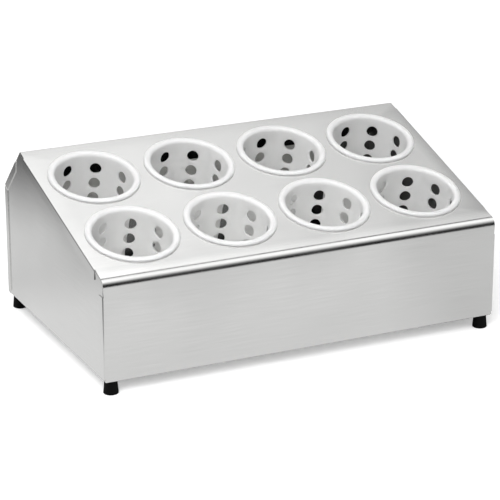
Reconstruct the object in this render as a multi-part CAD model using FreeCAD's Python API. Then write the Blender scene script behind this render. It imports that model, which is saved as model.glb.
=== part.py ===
"""Countertop cutlery dispenser: a folded stainless housing with a sloping deck, and eight perforated plastic
cylinders that stand in the deck's holes and lift straight out.

Frame: X runs along the front, Y from the front to the back, Z up. The origin is on the surface that the feet
stand on, at the centre of the footprint. All sizes are in millimetres.
"""

import FreeCAD
import Part
import math
import os

from FreeCAD import Placement, Rotation, Vector

# Housing, over the outside of the sheet
WIDTH = 522.0
DEPTH = 331.0
FRONT_HEIGHT = 126.0  # bottom edge to where the front and the deck would meet without their bend
DECK_SLOPE = 16.3  # degrees
RIDGE_RUN = 272.0  # front plane to the ridge, measured level
CHAMFER_SLOPE = 45.0  # degrees
SHEET = 1.0
FRONT_BEND_R = 10.6
FOLD_R = 2.4  # the bends at the ridge and at the top of the back
BOTTOM_BEND_R = 1.8
BOTTOM_RETURN = 24.0
FRONT_CORNER_R = 5.0  # lower corners of the front and, smaller, of the back
BACK_CORNER_R = 3.0

# Side flanges of the wrap, folded over the end panels
FLANGE_BEND_R = 1.5
FRONT_FLANGE = 13.0
FRONT_FLANGE_TOP = 106.5
DECK_FLANGE = 12.0
DECK_FLANGE_START = 26.0  # from the front corner, along the deck
DECK_FLANGE_END_GAP = 15.5  # short of the ridge
CHAMFER_FLANGE = 10.0
CHAMFER_FLANGE_START = 22.0  # from the ridge, along the chamfer
BACK_FLANGE = 10.0
BACK_FLANGE_FOOT = 3.0
BACK_FLANGE_FOOT_CUT = 4.0  # how far its free edge stops higher up

# End panels
EDGE_GAP = 0.6
END_RETURN = 24.0

# Cylinders and the holes that they stand in
COLUMN_PITCH = 127.0
COLUMNS = 4
FRONT_ROW = 82.0  # from the front corner, along the deck
REAR_ROW = 208.0
DECK_HOLE_R = 51.8
RIM_R = 57.15
RIM_THICK = 3.8
RIM_CHAMFER = 1.2
LIP_CHAMFER = 3.0
BODY_TOP_R = 50.5
BODY_BOTTOM_R = 46.5
WALL = 2.3
BODY_LENGTH = 136.5  # below the deck
BASE_CHAMFER = 4.0
PERFORATION_R = 7.6
PERFORATION_COLUMNS = 8
PERFORATION_ROWS = 6
FIRST_ROW_DEPTH = 17.6
ROW_PITCH = 21.1
BASE_RING_R = 29.0
BASE_RING_HOLES = 6

# How far each cylinder is turned in its hole, in degrees, left to right
FRONT_TURNS = [23.8, 29.5, 23.7, 25.6]
REAR_TURNS = [19.9, 14.5, 4.3, 11.9]

# Feet and their hardware
FOOT_HEIGHT = 17.0
FOOT_TOP_R = 7.7
FOOT_BOTTOM_R = 9.3
FOOT_EDGE_R = 1.4
FOOT_RECESS_R = 4.8
FOOT_RECESS = 8.0
FOOT_FROM_END = 12.0
FOOT_FROM_FACE = 10.0
INSERT_PLATE = 1.2
INSERT_TUBE_R = 3.6
SCREW_R = 2.0
SCREW_HOLE_R = 2.25
SCREW_HEAD_R = 4.0
SCREW_HEAD = 2.6
SCREW_HEAD_ROUND = 1.2
DRIVE_ACROSS = 4.4  # the cross recess in the head
DRIVE_WIDTH = 0.9
DRIVE_DEPTH = 1.2
WASHER_R = 4.5
WASHER = 0.8
NUT_ACROSS_FLATS = 7.0
NUT = 3.2
SCREW_TIP = 1.5  # thread showing past the nut

PAST = 1.0  # how far a cutting tool runs past what it cuts

UP = Vector(0, 0, 1)
SLOPE = math.radians(DECK_SLOPE)
ALONG = Vector(0, math.cos(SLOPE), math.sin(SLOPE))  # up the deck
NORMAL = Vector(0, -math.sin(SLOPE), math.cos(SLOPE))  # out of the deck
CHAMFER = math.radians(CHAMFER_SLOPE)
DOWN_CHAMFER = Vector(0, math.cos(CHAMFER), -math.sin(CHAMFER))
OUT_OF_CHAMFER = Vector(0, math.sin(CHAMFER), math.cos(CHAMFER))
FRONT_Y = -DEPTH / 2
BACK_Y = DEPTH / 2
BASE_Z = FOOT_HEIGHT  # underside of the housing
FRONT_CORNER = Vector(0, FRONT_Y, BASE_Z + FRONT_HEIGHT)
DECK_LENGTH = RIDGE_RUN / math.cos(SLOPE)
RIDGE = FRONT_CORNER + ALONG * DECK_LENGTH
CHAMFER_LENGTH = (DEPTH - RIDGE_RUN) / math.cos(CHAMFER)
BACK_CORNER = RIDGE + DOWN_CHAMFER * CHAMFER_LENGTH
HALF_WIDTH = WIDTH / 2
PANEL_FACE = HALF_WIDTH - SHEET  # outer face of an end panel, against the flanges


def profile_points(inset):
    """Corners of the housing's section, front bottom to back bottom, moved inwards by inset."""
    runs = [
        (Vector(0, FRONT_Y, BASE_Z), UP),
        (FRONT_CORNER, ALONG),
        (RIDGE, DOWN_CHAMFER),
        (BACK_CORNER, UP * -1),
    ]
    moved = [(start + Vector(0, way.z, -way.y) * inset, way) for start, way in runs]
    floor = BASE_Z + inset
    points = [Vector(0, moved[0][0].y, floor)]
    for (p, u), (q, v) in zip(moved, moved[1:]):
        turn = u.y * v.z - u.z * v.y
        reach = ((q.y - p.y) * v.z - (q.z - p.z) * v.y) / turn
        points.append(p + u * reach)
    points.append(Vector(0, moved[-1][0].y, floor))
    return points


def bent_edges(points, radii):
    """Straight runs through points, joined by tangent arcs. radii holds one value per inner point."""
    edges = []
    start = points[0]
    for before, corner, after, radius in zip(points, points[1:], points[2:], radii):
        u = (before - corner).normalize()
        v = (after - corner).normalize()
        half = u.getAngle(v) / 2
        reach = radius / math.tan(half)
        middle = (u + v).normalize()
        centre = corner + middle * (radius / math.sin(half))
        edges.append(Part.makeLine(start, corner + u * reach))
        arc = Part.Arc(corner + u * reach, centre - middle * radius, corner + v * reach)
        edges.append(arc.toShape())
        start = corner + v * reach
    edges.append(Part.makeLine(start, points[-1]))
    return edges


def closed(points):
    """A closed polygon through points, as a face."""
    return Part.Face(Part.makePolygon(points + points[:1]))


def both_sides(shape):
    """shape and its mirror image in the plane x = 0."""
    return [shape, shape.mirror(Vector(0, 0, 0), Vector(1, 0, 0))]


def along_x(face, start, end):
    """A section in the YZ plane, carried from x = start to x = end."""
    return face.translated(Vector(start, 0, 0)).extrude(Vector(end - start, 0, 0))


def sheet_section():
    """The folded strip's section, with the bottom returns."""
    runs = []
    for inset in (0, SHEET):
        floor = BASE_Z + inset
        front_end = Vector(0, FRONT_Y + BOTTOM_RETURN, floor)
        back_end = Vector(0, BACK_Y - BOTTOM_RETURN, floor)
        runs.append([front_end] + profile_points(inset) + [back_end])
    outer, inner = runs
    radii = [BOTTOM_BEND_R, FRONT_BEND_R, FOLD_R, FOLD_R, BOTTOM_BEND_R]
    edges = bent_edges(outer, radii)
    edges += bent_edges(inner, [r - SHEET for r in radii])
    edges.append(Part.makeLine(outer[0], inner[0]))
    edges.append(Part.makeLine(outer[-1], inner[-1]))
    return Part.Face(Part.Wire(Part.__sortEdges__(edges)))


def bend_section(start, outwards, width):
    """Section of a side flange on the right: a quarter bend out of the sheet's edge and a flat down to width."""
    bend_x = HALF_WIDTH - FLANGE_BEND_R
    inner_r = FLANGE_BEND_R - SHEET
    half = math.sqrt(0.5)

    def at(x, depth):
        return start + Vector(x, 0, 0) - outwards * depth

    outer_arc = Part.Arc(
        at(bend_x, 0),
        at(bend_x + FLANGE_BEND_R * half, FLANGE_BEND_R * (1 - half)),
        at(HALF_WIDTH, FLANGE_BEND_R),
    )
    inner_arc = Part.Arc(
        at(PANEL_FACE, FLANGE_BEND_R),
        at(bend_x + inner_r * half, FLANGE_BEND_R - inner_r * half),
        at(bend_x, SHEET),
    )
    outline = [
        outer_arc.toShape(),
        Part.makeLine(at(HALF_WIDTH, FLANGE_BEND_R), at(HALF_WIDTH, width)),
        Part.makeLine(at(HALF_WIDTH, width), at(PANEL_FACE, width)),
        Part.makeLine(at(PANEL_FACE, width), at(PANEL_FACE, FLANGE_BEND_R)),
        inner_arc.toShape(),
        Part.makeLine(at(bend_x, SHEET), at(bend_x, 0)),
    ]
    return Part.Face(Part.Wire(outline))


def flange(start, way, outwards, length, width, lead=0.0, tail=0.0):
    """A side flange on the right, folded down from an edge of the sheet that starts at start and runs along way.
    lead and tail move the free edge's ends along the run, for a mitred or upright cut."""
    reach = max(abs(lead), abs(tail))
    section = bend_section(start, outwards, width)
    whole = section.translated(way * -reach).extrude(way * (length + 2 * reach))
    end = start + way * length
    sink = outwards * width
    outline = closed([start, end, end + way * tail - sink, start + way * lead - sink])
    return whole.common(along_x(outline, HALF_WIDTH - FLANGE_BEND_R, HALF_WIDTH))


def side_flanges():
    """Every flange on both sides of the wrap."""
    back_mitre = BACK_FLANGE * math.tan((math.pi / 2 - CHAMFER) / 2) - FOLD_R / 2
    back_height = BACK_CORNER.z - BASE_Z
    front = flange(
        Vector(0, FRONT_Y, BASE_Z + FRONT_CORNER_R),
        UP,
        Vector(0, -1, 0),
        FRONT_FLANGE_TOP - FRONT_CORNER_R,
        FRONT_FLANGE,
    )
    deck = flange(
        FRONT_CORNER + ALONG * DECK_FLANGE_START,
        ALONG,
        NORMAL,
        DECK_LENGTH - DECK_FLANGE_START - DECK_FLANGE_END_GAP,
        DECK_FLANGE,
        lead=-DECK_FLANGE * math.tan(SLOPE),
    )
    chamfer = flange(
        RIDGE + DOWN_CHAMFER * CHAMFER_FLANGE_START,
        DOWN_CHAMFER,
        OUT_OF_CHAMFER,
        CHAMFER_LENGTH - CHAMFER_FLANGE_START - FOLD_R,
        CHAMFER_FLANGE,
        lead=CHAMFER_FLANGE,
        tail=-back_mitre,
    )
    back = flange(
        BACK_CORNER - UP * FOLD_R,
        UP * -1,
        Vector(0, 1, 0),
        back_height - FOLD_R - BACK_FLANGE_FOOT,
        BACK_FLANGE,
        lead=back_mitre,
        tail=-BACK_FLANGE_FOOT_CUT,
    )
    shapes = []
    for piece in (front, deck, chamfer, back):
        shapes += both_sides(piece)
    return shapes


def cylinder_places():
    """Name, centre on the deck's top face, and turn of each cylinder."""
    places = []
    for row, distance, turns in (("front", FRONT_ROW, FRONT_TURNS), ("rear", REAR_ROW, REAR_TURNS)):
        for column, turn in enumerate(turns):
            x = (column - (COLUMNS - 1) / 2) * COLUMN_PITCH
            centre = FRONT_CORNER + ALONG * distance + Vector(x, 0, 0)
            places.append((f"cylinder_{row}_{column + 1}", centre, turn))
    return places


def foot_places():
    """Name and centre, at floor level, of each foot."""
    x = HALF_WIDTH - FOOT_FROM_END
    y = DEPTH / 2 - FOOT_FROM_FACE
    return [
        ("front_left", Vector(-x, -y, 0)),
        ("front_right", Vector(x, -y, 0)),
        ("back_left", Vector(-x, y, 0)),
        ("back_right", Vector(x, y, 0)),
    ]


def deck_hole_tools():
    """Tools for the eight holes that the cylinders stand in."""
    tools = []
    for _, centre, _ in cylinder_places():
        foot = centre - NORMAL * (SHEET + PAST)
        tools.append(Part.makeCylinder(DECK_HOLE_R, SHEET + 2 * PAST, foot, NORMAL))
    return tools


def screw_hole_tools():
    """Tools for the four clearance holes through the bottom returns, which lie two sheets deep."""
    tools = []
    for _, centre in foot_places():
        foot = centre + UP * (BASE_Z - PAST)
        tools.append(Part.makeCylinder(SCREW_HOLE_R, 2 * SHEET + 2 * PAST, foot))
    return tools


def lower_corner_tools(radius, y_start):
    """Tools that round the sheet's lower corners and the ends of the return behind them, from y_start on."""
    half = math.sqrt(0.5)
    arc_x = HALF_WIDTH - radius
    out_x = HALF_WIDTH + PAST
    arc = Part.Arc(
        Vector(arc_x, y_start, BASE_Z),
        Vector(arc_x + radius * half, y_start, BASE_Z + radius * (1 - half)),
        Vector(HALF_WIDTH, y_start, BASE_Z + radius),
    )
    corners = [
        Vector(HALF_WIDTH, y_start, BASE_Z + radius),
        Vector(out_x, y_start, BASE_Z + radius),
        Vector(out_x, y_start, BASE_Z - PAST),
        Vector(arc_x, y_start, BASE_Z - PAST),
        Vector(arc_x, y_start, BASE_Z),
    ]
    outline = [arc.toShape()]
    for start, end in zip(corners, corners[1:]):
        outline.append(Part.makeLine(start, end))
    tool = Part.Face(Part.Wire(outline)).extrude(Vector(0, BOTTOM_RETURN + 2 * PAST, 0))
    return both_sides(tool)


def body_wrap():
    """Front, deck, chamfer and back in one folded sheet, with its flanges, returns and holes."""
    flat_half = HALF_WIDTH - FLANGE_BEND_R
    section = sheet_section()
    strip = along_x(section, -flat_half, flat_half)
    # Where there is no flange, the sheet's edge comes out flush with the end panel's face.
    nose_box = Part.makeBox(
        2 * PANEL_FACE,
        DECK_FLANGE_START * math.cos(SLOPE),
        FRONT_HEIGHT,
        Vector(-PANEL_FACE, FRONT_Y, BASE_Z + FRONT_FLANGE_TOP),
    )
    nose = along_x(section, -PANEL_FACE, PANEL_FACE).common(nose_box)
    shape = strip.fuse([nose] + side_flanges())
    tools = deck_hole_tools() + screw_hole_tools()
    tools += lower_corner_tools(FRONT_CORNER_R, FRONT_Y - PAST)
    tools += lower_corner_tools(BACK_CORNER_R, BACK_Y - BOTTOM_RETURN - PAST)
    return shape.cut(tools).removeSplitter()


def end_return(front_y, back_y, bottom):
    """The right end panel's return: a quarter bend out of the panel and a flat, from front_y to back_y."""
    outer_r = BOTTOM_BEND_R
    inner_r = BOTTOM_BEND_R - SHEET
    half = math.sqrt(0.5)
    bend_x = PANEL_FACE - outer_r
    bend_z = bottom + outer_r
    inner_x = PANEL_FACE - END_RETURN

    def at(x, z):
        return Vector(x, front_y, z)

    outer_arc = Part.Arc(
        at(PANEL_FACE, bend_z), at(bend_x + outer_r * half, bend_z - outer_r * half), at(bend_x, bottom)
    )
    inner_arc = Part.Arc(
        at(bend_x, bottom + SHEET),
        at(bend_x + inner_r * half, bend_z - inner_r * half),
        at(PANEL_FACE - SHEET, bend_z),
    )
    outline = [
        outer_arc.toShape(),
        Part.makeLine(at(bend_x, bottom), at(inner_x, bottom)),
        Part.makeLine(at(inner_x, bottom), at(inner_x, bottom + SHEET)),
        Part.makeLine(at(inner_x, bottom + SHEET), at(bend_x, bottom + SHEET)),
        inner_arc.toShape(),
        Part.makeLine(at(PANEL_FACE - SHEET, bend_z), at(PANEL_FACE, bend_z)),
    ]
    return Part.Face(Part.Wire(outline)).extrude(Vector(0, back_y - front_y, 0))


def end_panel_right():
    """The inset side sheet, with a return along its bottom that lies on those of the wrap."""
    inset = SHEET + EDGE_GAP
    bottom = BASE_Z + SHEET
    points = profile_points(inset)
    points[0].z = bottom + BOTTOM_BEND_R
    points[-1].z = bottom + BOTTOM_BEND_R
    radii = [FRONT_BEND_R - inset, FOLD_R - inset, FOLD_R - inset]
    outline = bent_edges(points, radii)
    outline.append(Part.makeLine(points[-1], points[0]))
    panel = along_x(Part.Face(Part.Wire(outline)), PANEL_FACE - SHEET, PANEL_FACE)
    # The return stops short of the wrap's bottom bends.
    clear = BOTTOM_BEND_R
    bottom_return = end_return(points[0].y + clear, points[-1].y - clear, bottom)
    return panel.fuse(bottom_return).cut(screw_hole_tools()).removeSplitter()


def body_radius(height):
    """Outer radius of a cylinder's tapered body at a height, which is 0 under the rim and negative below."""
    return BODY_TOP_R + (BODY_TOP_R - BODY_BOTTOM_R) * height / BODY_LENGTH


def perforation_tools():
    """Round pins for the holes in a cylinder's wall and base, in the cylinder's own frame."""
    length = 4 * WALL
    tools = []
    for column in range(PERFORATION_COLUMNS):
        angle = 2 * math.pi * column / PERFORATION_COLUMNS
        outwards = Vector(math.cos(angle), math.sin(angle), 0)
        for row in range(PERFORATION_ROWS):
            height = -FIRST_ROW_DEPTH - row * ROW_PITCH
            wall_middle = body_radius(height) - WALL / 2
            foot = outwards * (wall_middle - length / 2) + UP * height
            tools.append(Part.makeCylinder(PERFORATION_R, length, foot, outwards))
    below = UP * (-BODY_LENGTH - WALL)
    tools.append(Part.makeCylinder(PERFORATION_R, length, below))
    for hole in range(BASE_RING_HOLES):
        angle = 2 * math.pi * hole / BASE_RING_HOLES
        ring = Vector(BASE_RING_R * math.cos(angle), BASE_RING_R * math.sin(angle), 0)
        tools.append(Part.makeCylinder(PERFORATION_R, length, below + ring))
    return tools


def cylinder():
    """One moulded cylinder. Its axis is Z, and z = 0 is the underside of its rim."""
    corner_z = -BODY_LENGTH + BASE_CHAMFER
    floor_z = -BODY_LENGTH + WALL
    inner_corner_z = corner_z + WALL / 2
    mouth_r = BODY_TOP_R - WALL
    section = [
        Vector(0, 0, -BODY_LENGTH),
        Vector(BODY_BOTTOM_R - BASE_CHAMFER, 0, -BODY_LENGTH),
        Vector(body_radius(corner_z), 0, corner_z),
        Vector(BODY_TOP_R, 0, 0),
        Vector(RIM_R, 0, 0),
        Vector(RIM_R, 0, RIM_THICK - RIM_CHAMFER),
        Vector(RIM_R - RIM_CHAMFER, 0, RIM_THICK),
        Vector(mouth_r + LIP_CHAMFER, 0, RIM_THICK),
        Vector(mouth_r, 0, RIM_THICK - LIP_CHAMFER),
        Vector(body_radius(inner_corner_z) - WALL, 0, inner_corner_z),
        Vector(body_radius(floor_z) - WALL - (inner_corner_z - floor_z), 0, floor_z),
        Vector(0, 0, floor_z),
    ]
    body = closed(section).revolve(Vector(0, 0, 0), UP, 360)
    return body.cut(perforation_tools())


def foot():
    """A conical rubber foot, standing on z = 0, with a recess for the screw's head and a bore for its insert."""
    outer = [
        Vector(FOOT_RECESS_R, 0, 0),
        Vector(FOOT_BOTTOM_R, 0, 0),
        Vector(FOOT_TOP_R, 0, FOOT_HEIGHT),
        Vector(INSERT_TUBE_R, 0, FOOT_HEIGHT),
        Vector(INSERT_TUBE_R, 0, FOOT_RECESS + INSERT_PLATE),
        Vector(FOOT_RECESS_R, 0, FOOT_RECESS + INSERT_PLATE),
        Vector(FOOT_RECESS_R, 0, 0),
    ]
    edges = bent_edges(outer[:3], [FOOT_EDGE_R])
    for start, end in zip(outer[2:], outer[3:]):
        edges.append(Part.makeLine(start, end))
    return Part.Face(Part.Wire(edges)).revolve(Vector(0, 0, 0), UP, 360)


def foot_insert():
    """The steel bush moulded into a foot: a plate over the recess and a tube up to the foot's top."""
    plate = Part.makeCylinder(FOOT_RECESS_R, INSERT_PLATE, UP * FOOT_RECESS)
    tube = Part.makeCylinder(INSERT_TUBE_R, FOOT_HEIGHT - FOOT_RECESS, UP * FOOT_RECESS)
    bore = Part.makeCylinder(SCREW_HOLE_R, FOOT_HEIGHT + PAST)
    return plate.fuse(tube).cut(bore).removeSplitter()


def foot_screw():
    """A pan-head screw, head down in the foot's recess."""
    top = BASE_Z + 2 * SHEET + WASHER + NUT + SCREW_TIP
    head_z = FOOT_RECESS - SCREW_HEAD
    head = Part.makeCylinder(SCREW_HEAD_R, SCREW_HEAD, UP * head_z)
    lower_edge = min(head.Edges, key=lambda edge: edge.BoundBox.ZMax)
    head = head.makeFillet(SCREW_HEAD_ROUND, [lower_edge])
    shank = Part.makeCylinder(SCREW_R, top - FOOT_RECESS, UP * FOOT_RECESS)
    cross = []
    for length, width in ((DRIVE_ACROSS, DRIVE_WIDTH), (DRIVE_WIDTH, DRIVE_ACROSS)):
        corner = Vector(-length / 2, -width / 2, head_z - PAST)
        cross.append(Part.makeBox(length, width, DRIVE_DEPTH + PAST, corner))
    return head.fuse(shank).cut(cross).removeSplitter()


def foot_washer():
    """A flat washer on top of the bottom returns."""
    low = UP * (BASE_Z + 2 * SHEET)
    return Part.makeCylinder(WASHER_R, WASHER, low).cut(Part.makeCylinder(SCREW_HOLE_R, WASHER, low))


def foot_nut():
    """A hexagon nut on the washer. Its bore is the screw's own radius, as a thread's would be."""
    low = BASE_Z + 2 * SHEET + WASHER
    corner_r = NUT_ACROSS_FLATS / math.sqrt(3)
    corners = []
    for side in range(6):
        angle = math.radians(60 * side)
        corners.append(Vector(corner_r * math.cos(angle), corner_r * math.sin(angle), low))
    return closed(corners).extrude(UP * NUT).cut(Part.makeCylinder(SCREW_R, NUT, UP * low))


def at_each_foot(shape):
    """Four copies of a piece of foot hardware, as separate solids."""
    return Part.makeCompound([shape.translated(centre) for _, centre in foot_places()])


def all_nodes():
    """Every part of the assembly by name, in its place."""
    right = end_panel_right()
    nodes = {
        "body_wrap": body_wrap(),
        "end_panel_right": right,
        "end_panel_left": right.mirror(Vector(0, 0, 0), Vector(1, 0, 0)),
    }
    one_cylinder = cylinder()
    tilt = Rotation(Vector(1, 0, 0), DECK_SLOPE)
    for name, centre, turn in cylinder_places():
        placed = one_cylinder.copy()
        placed.Placement = Placement(centre, tilt.multiply(Rotation(UP, turn)))
        nodes[name] = placed
    for corner, centre in foot_places():
        nodes[f"foot_{corner}"] = foot().translated(centre)
        nodes[f"foot_insert_{corner}"] = foot_insert().translated(centre)
    nodes["foot_screws"] = at_each_foot(foot_screw())
    nodes["foot_washers"] = at_each_foot(foot_washer())
    nodes["foot_nuts"] = at_each_foot(foot_nut())
    return nodes


def main():
    os.makedirs("parts", exist_ok=True)
    for name, shape in all_nodes().items():
        if not shape.isValid():
            raise ValueError(f"{name} is not a valid solid")
        shape.exportStep(os.path.join("parts", f"{name}.step"))
        box = shape.BoundBox
        print(f"{name}: {len(shape.Solids)} solids, {box.XLength:.1f} x {box.YLength:.1f} x {box.ZLength:.1f} mm")


main()
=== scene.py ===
import math

import bmesh
import bpy
from mathutils import Matrix, Vector


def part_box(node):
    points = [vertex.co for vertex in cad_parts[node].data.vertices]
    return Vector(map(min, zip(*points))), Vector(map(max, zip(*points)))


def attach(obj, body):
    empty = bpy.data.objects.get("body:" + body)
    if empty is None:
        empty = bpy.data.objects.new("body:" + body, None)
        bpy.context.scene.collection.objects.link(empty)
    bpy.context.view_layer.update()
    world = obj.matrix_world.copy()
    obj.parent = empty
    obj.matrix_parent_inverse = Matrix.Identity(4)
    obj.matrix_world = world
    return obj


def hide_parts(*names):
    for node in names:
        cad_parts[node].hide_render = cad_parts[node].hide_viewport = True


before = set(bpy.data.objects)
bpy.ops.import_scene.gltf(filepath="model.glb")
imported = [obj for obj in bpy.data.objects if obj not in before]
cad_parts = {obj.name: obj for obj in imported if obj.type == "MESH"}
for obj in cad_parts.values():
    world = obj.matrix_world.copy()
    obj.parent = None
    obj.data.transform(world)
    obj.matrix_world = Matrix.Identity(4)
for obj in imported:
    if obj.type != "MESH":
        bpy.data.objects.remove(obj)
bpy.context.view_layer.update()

# ---------------------------------------------------------------------------------------------------------
# Sizes, in metres. X runs along the front, Y from the front to the back, Z up.
# ---------------------------------------------------------------------------------------------------------
MM = 0.001
X_AXIS = Vector((1, 0, 0))
Y_AXIS = Vector((0, 1, 0))
Z_AXIS = Vector((0, 0, 1))

WRAP_LOW, WRAP_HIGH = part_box("body_wrap")
HALF_WIDTH = WRAP_HIGH.x
FRONT_Y = WRAP_LOW.y
BACK_Y = WRAP_HIGH.y
BASE_Z = WRAP_LOW.z  # underside of the housing, where the feet end

SHEET = 1.0 * MM
FRONT_HEIGHT = 126.0 * MM
SLOPE = math.radians(16.3)
RIDGE_RUN = 272.0 * MM
CHAMFER = math.radians(45)
FRONT_BEND_R = 10.6 * MM
FOLD_R = 2.4 * MM
BOTTOM_BEND_R = 1.8 * MM
BOTTOM_RETURN = 24.0 * MM
FRONT_CORNER_R = 5.0 * MM
BACK_CORNER_R = 3.0 * MM
FRONT_CORNER_ROWS = (0.48, 0.62, 0.8)  # rows of mesh up the round lower corners, as shares of their radius
BACK_CORNER_ROW = 0.8

FLANGE_BEND_R = 1.5 * MM
FRONT_FLANGE = 13.0 * MM
FRONT_FLANGE_TOP = 106.5 * MM
DECK_FLANGE = 12.0 * MM
DECK_FLANGE_START = 26.0 * MM
DECK_FLANGE_END_GAP = 15.5 * MM
CHAMFER_FLANGE = 10.0 * MM
CHAMFER_FLANGE_START = 22.0 * MM
BACK_FLANGE = 10.0 * MM
BACK_FLANGE_FOOT = 3.0 * MM
BACK_FLANGE_CUT = 0.4  # how far the back flange's foot is cut slanting, as a share of its width
PANEL_FACE = HALF_WIDTH - SHEET
EDGE_GAP = 0.6 * MM
END_RETURN = 24.0 * MM

COLUMN_PITCH = 127.0 * MM
FRONT_ROW = 82.0 * MM
REAR_ROW = 208.0 * MM
DECK_HOLE_R = 51.8 * MM

RIM_R = 57.15 * MM
RIM_THICK = 3.8 * MM
RIM_EDGE_R = 3.0 * MM
NECK_R = 0.4 * MM  # inner corners at the rim's underside
LIP_R = 4.5 * MM
BODY_TOP_R = 50.5 * MM
BODY_BOTTOM_R = 46.5 * MM
BODY_LENGTH = 136.5 * MM
WALL = 2.3 * MM
BASE_CORNER_R = 5.0 * MM
PERFORATION_R = 7.6 * MM
PERFORATION_COLUMNS = 8
PERFORATION_ROWS = 6
FIRST_ROW_DEPTH = 17.6 * MM
ROW_PITCH = 21.1 * MM
BASE_RING_R = 29.0 * MM
BASE_RING_HOLES = 6
BASE_FLAT_R = 39.5 * MM
FRONT_TURNS = [23.8, 29.5, 23.7, 25.6]  # degrees, left to right
REAR_TURNS = [19.9, 14.5, 4.3, 11.9]

FOOT_HEIGHT = 17.0 * MM
FOOT_TOP_R = 7.7 * MM
FOOT_BOTTOM_R = 9.3 * MM
FOOT_EDGE_R = 1.4 * MM
FOOT_MOUTH_R = 0.4 * MM
FOOT_SHOULDER_R = 0.5 * MM
FOOT_RECESS_R = 4.8 * MM
FOOT_RECESS = 8.0 * MM
INSERT_PLATE = 1.2 * MM
INSERT_TUBE_R = 3.6 * MM

ALONG = Vector((0, math.cos(SLOPE), math.sin(SLOPE)))
NORMAL = Vector((0, -math.sin(SLOPE), math.cos(SLOPE)))
FRONT_CORNER = Vector((0, FRONT_Y, BASE_Z + FRONT_HEIGHT))
RIDGE = FRONT_CORNER + ALONG * (RIDGE_RUN / math.cos(SLOPE))
CHAMFER_RUN = BACK_Y - RIDGE.y
FRONT_BEND_ANGLE = math.pi / 2 - SLOPE
FRONT_BEND_REACH = FRONT_BEND_R * math.tan(FRONT_BEND_ANGLE / 2)  # from the corner to the bend's start
BACK_CORNER = Vector((0, BACK_Y, RIDGE.z - CHAMFER_RUN * math.tan(CHAMFER)))

ARC_STEP = math.radians(6)  # how finely bends are divided
BESIDE_BEND = 0.5 * MM  # a narrow row beside each bend, which keeps a flat face's shading flat
SHARP = math.radians(28)  # edges that turn by more than this stay crisp
TOUCHING = 0.001 * MM  # places closer than this count as one


# ---------------------------------------------------------------------------------------------------------
# Mesh tools
# ---------------------------------------------------------------------------------------------------------
def drawn(bm, geom, way):
    """geom carried along way in one step. Returns the geometry at the far end."""
    out = bmesh.ops.spin(bm, geom=geom, cent=(0, 0, 0), axis=(1, 0, 0), dvec=way, angle=0, steps=1)
    return out["geom_last"]


def turned(bm, geom, centre, axis, angle, step=ARC_STEP):
    """geom carried round an arc. Returns the geometry at the far end."""
    steps = max(1, math.ceil(abs(angle) / step - 0.01))
    out = bmesh.ops.spin(bm, geom=geom, cent=centre, axis=axis, angle=angle, steps=steps)
    return out["geom_last"]


def traced(bm, geom, corners, radii, axis, stops=None):
    """geom drawn along the runs between corners and turned round a tangent arc at each inner corner.
    stops holds, for a run's number, distances from its first corner where the mesh gets a row of its own."""
    stops = stops or {}
    reach = [0.0]
    angles = [0.0]
    for before, corner, after, radius in zip(corners, corners[1:], corners[2:], radii):
        u = (corner - before).normalized()
        v = (after - corner).normalized()
        angle = math.atan2(axis.dot(u.cross(v)), u.dot(v))
        angles.append(angle)
        reach.append(radius * math.tan(abs(angle) / 2))
    reach.append(0.0)
    for run, (start, end) in enumerate(zip(corners, corners[1:])):
        way = (end - start).normalized()
        length = (end - start).length
        place = reach[run]
        for stop in stops.get(run, []) + [length - reach[run + 1]]:
            if stop - place > 1e-7:
                geom = drawn(bm, geom, way * (stop - place))
            place = stop
        if run < len(radii) and radii[run] > 0:
            angle = angles[run + 1]
            side = math.copysign(1.0, angle)
            tangent = end - way * reach[run + 1]
            centre = tangent + axis.cross(way) * (radii[run] * side)
            geom = turned(bm, geom, centre, axis, angle)
    return geom


def lathe(bm, steps):
    """Everything in bm, a section in the XZ plane, carried round the Z axis."""
    geom = bm.verts[:] + bm.edges[:]
    whole = 2 * math.pi
    bmesh.ops.spin(bm, geom=geom, cent=(0, 0, 0), axis=Z_AXIS, angle=whole, steps=steps, use_merge=True)
    bmesh.ops.remove_doubles(bm, verts=bm.verts[:], dist=TOUCHING)


def section(points, radii, bm):
    """A wire in the XZ plane through points, given as (radius, height), with rounded inner corners."""
    corners = [Vector((r, 0, z)) for r, z in points]
    start = bm.verts.new(corners[0])
    traced(bm, [start], corners, radii, -Y_AXIS)


def mesh_from(bm, name):
    """bm as a new mesh, with smooth faces and crisp edges where they turn sharply."""
    mesh = bpy.data.meshes.new(name)
    bm.to_mesh(mesh)
    bm.free()
    for face in mesh.polygons:
        face.use_smooth = True
    mesh.set_sharp_from_angle(angle=SHARP)
    return mesh


def show(mesh, name, material, slot, body, *nodes):
    """An object for mesh, which stands for the named CAD nodes."""
    piece = bpy.data.objects.new(name, mesh)
    bpy.context.scene.collection.objects.link(piece)
    if not mesh.materials:
        mesh.materials.append(material)
    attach(piece, body)
    if nodes:
        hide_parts(*nodes)
    return piece


def thickened(bm, thickness, name, outside, inside):
    """The outer skin in bm given its sheet thickness inwards, as a mesh with a finish on each side."""
    mesh = mesh_from(bm, name + "_skin")
    mesh.materials.append(outside)
    mesh.materials.append(inside)
    skin = bpy.data.objects.new(name + "_skin", mesh)
    bpy.context.scene.collection.objects.link(skin)
    wall = skin.modifiers.new("sheet", "SOLIDIFY")
    wall.thickness = thickness
    wall.offset = -1
    wall.use_even_offset = True
    wall.use_quality_normals = True
    wall.material_offset = 1
    graph = bpy.context.evaluated_depsgraph_get()
    finished = bpy.data.meshes.new_from_object(skin.evaluated_get(graph))
    finished.name = name
    finished.set_sharp_from_angle(angle=SHARP)
    bpy.data.objects.remove(skin)
    return finished


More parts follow.
